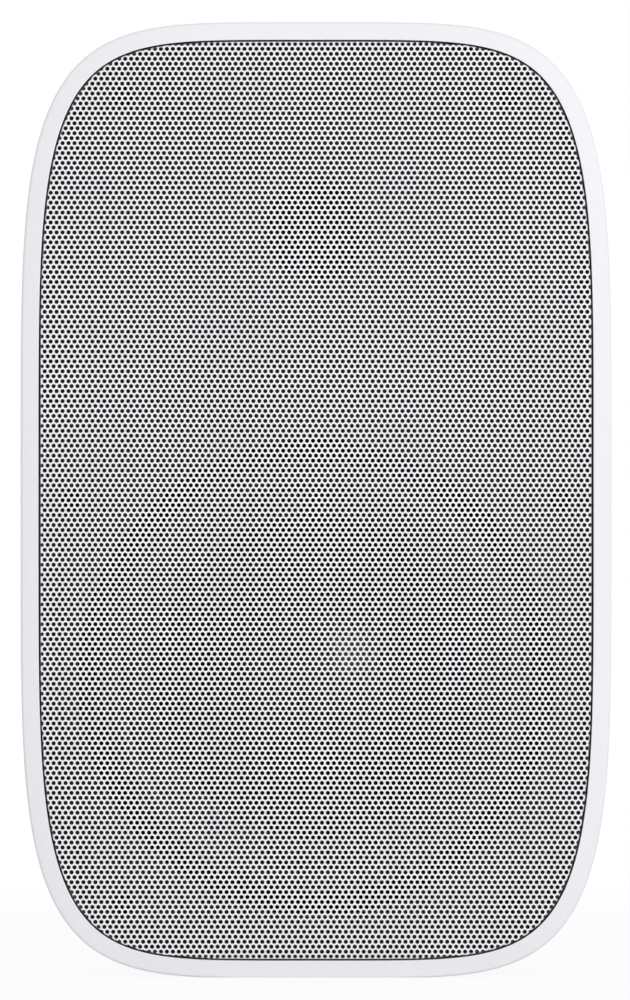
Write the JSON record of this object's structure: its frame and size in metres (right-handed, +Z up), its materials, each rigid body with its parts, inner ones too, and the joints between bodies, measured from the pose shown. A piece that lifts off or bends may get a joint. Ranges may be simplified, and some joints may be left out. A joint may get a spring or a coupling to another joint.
{
  "type": "active speaker",
  "caption": "White active two-way speaker with a perforated grille over a woofer and a tweeter, and a recessed rear amplifier panel with controls, sockets and a mains inlet.",
  "frame": {"origin": "middle of the base, under the middle of the cabinet's depth", "axes": "+Z up, -Y towards the listener (grille side), +X to the viewer's right from the front"},
  "size_m": [0.198, 0.182, 0.3202],
  "materials": {
    "cabinet_white": "fine satin moulded white",
    "grille_white": "white powder coat",
    "baffle_black": "matte black moulding",
    "gasket_foam": "closed-cell foam",
    "zinc_screw": "zinc plated",
    "black_screw": "black oxide",
    "brass": "plain turned brass",
    "wadding": "white polyester wadding",
    "basket_black": "black coated",
    "surround_rubber": "smooth black rubber",
    "cone_black": "coated black pulp",
    "cap_black": "satin black",
    "spider_cloth": "resin treated cloth",
    "former": "kraft former",
    "copper": "enamelled copper wire",
    "plated_steel": "zinc plated steel",
    "ferrite": "dark ferrite",
    "phenolic": "brown laminate",
    "lead_red": "insulated wire",
    "dome_cloth": "coated soft dome",
    "panel_black": "black powder coat",
    "board_green": "solder mask",
    "aluminium": "extruded",
    "tape_yellow": "transformer tape",
    "capacitor_sleeve": "shrink sleeve",
    "socket_black": "glossy black moulding",
    "nickel": "nickel plated",
    "pot_case": "black case with threaded bush",
    "knob_black": "fluted black",
    "ring_white": "white insulator",
    "ring_red": "red insulator",
    "lever_red": "red moulding",
    "lever_black": "black moulding"
  },
  "bodies": {
    "cabinet": {"cabinet_shell": "cabinet_white", "grille": "grille_white", "front_baffle": "baffle_black", "baffle_gasket": "gasket_foam", "baffle_screws": "zinc_screw", "bracket_inserts": "brass", "damping_pad": "wadding", "woofer_basket": "basket_black", "woofer_trim_ring": "baffle_black", "woofer_screws": "black_screw", "woofer_surround": "surround_rubber", "woofer_spider": "spider_cloth", "woofer_top_plate": "plated_steel", "woofer_magnet": "ferrite", "woofer_yoke": "plated_steel", "woofer_tag_strip": "phenolic", "woofer_tags": "brass", "woofer_leads": "lead_red", "tweeter_faceplate": "baffle_black", "tweeter_dome": "dome_cloth", "tweeter_top_plate": "plated_steel", "tweeter_magnet": "ferrite", "tweeter_yoke": "plated_steel", "tweeter_screws": "black_screw", "tweeter_leads": "lead_red", "amp_panel": "panel_black", "amp_gasket": "gasket_foam", "amp_screws": "black_screw", "amp_board": "board_green", "board_standoffs": "brass", "heat_sink": "aluminium", "mains_transformer": "tape_yellow", "transformer_clamp": "plated_steel", "capacitors": "capacitor_sleeve", "mains_inlet": "socket_black", "inlet_pins": "nickel", "switch_housing": "socket_black", "pot_nuts": "nickel", "left_input_socket": "nickel", "right_input_socket": "nickel", "left_input_ring": "ring_white", "right_input_ring": "ring_red", "terminal_housing": "socket_black", "volume_pot": "pot_case", "bass_pot": "pot_case", "treble_pot": "pot_case"},
    "woofer_moving": {"woofer_cone": "cone_black", "woofer_dust_cap": "cap_black", "woofer_former": "former", "woofer_winding": "copper"},
    "tweeter_moving": {"tweeter_coil": "copper"},
    "volume_control": {"volume_knob": "knob_black", "volume_shaft": "nickel"},
    "bass_control": {"bass_knob": "knob_black", "bass_shaft": "nickel"},
    "treble_control": {"treble_knob": "knob_black", "treble_shaft": "nickel"},
    "power_rocker": {"switch_rocker": "lever_red"},
    "red_lever": {"red_terminal_lever": "lever_red"},
    "black_lever": {"black_terminal_lever": "lever_black"}
  },
  "joints": [
    {"name": "woofer_travel", "type": "slide", "parent": "cabinet", "child": "woofer_moving", "axis": [0, 1, 0], "range_m": [-0.004, 0.004], "stiffness_N_per_m": 1000, "deforming": ["woofer_surround", "woofer_spider"]},
    {"name": "tweeter_travel", "type": "slide", "parent": "cabinet", "child": "tweeter_moving", "axis": [0, 1, 0], "range_m": [-0.0003, 0.0003], "stiffness_N_per_m": 600, "deforming": ["tweeter_dome"]},
    {"name": "volume_turn", "type": "hinge", "parent": "cabinet", "child": "volume_control", "pos_m": [0.031, 0.0841, 0.16668], "axis": [0, 1, 0], "range_deg": [-150, 150]},
    {"name": "bass_turn", "type": "hinge", "parent": "cabinet", "child": "bass_control", "pos_m": [0, 0.0841, 0.16668], "axis": [0, 1, 0], "range_deg": [-150, 150]},
    {"name": "treble_turn", "type": "hinge", "parent": "cabinet", "child": "treble_control", "pos_m": [-0.031, 0.0841, 0.16668], "axis": [0, 1, 0], "range_deg": [-150, 150]},
    {"name": "power_tilt", "type": "hinge", "parent": "cabinet", "child": "power_rocker", "pos_m": [-0.026, 0.0765, 0.07768], "axis": [1, 0, 0], "range_deg": [0, 20]},
    {"name": "red_lever_press", "type": "hinge", "parent": "cabinet", "child": "red_lever", "pos_m": [-0.0125, 0.08, 0.13468], "axis": [1, 0, 0], "range_deg": [0, 18], "stiffness_Nm_per_rad": 0.1},
    {"name": "black_lever_press", "type": "hinge", "parent": "cabinet", "child": "black_lever", "pos_m": [-0.0315, 0.08, 0.13468], "axis": [1, 0, 0], "range_deg": [0, 18], "stiffness_Nm_per_rad": 0.1}
  ]
}
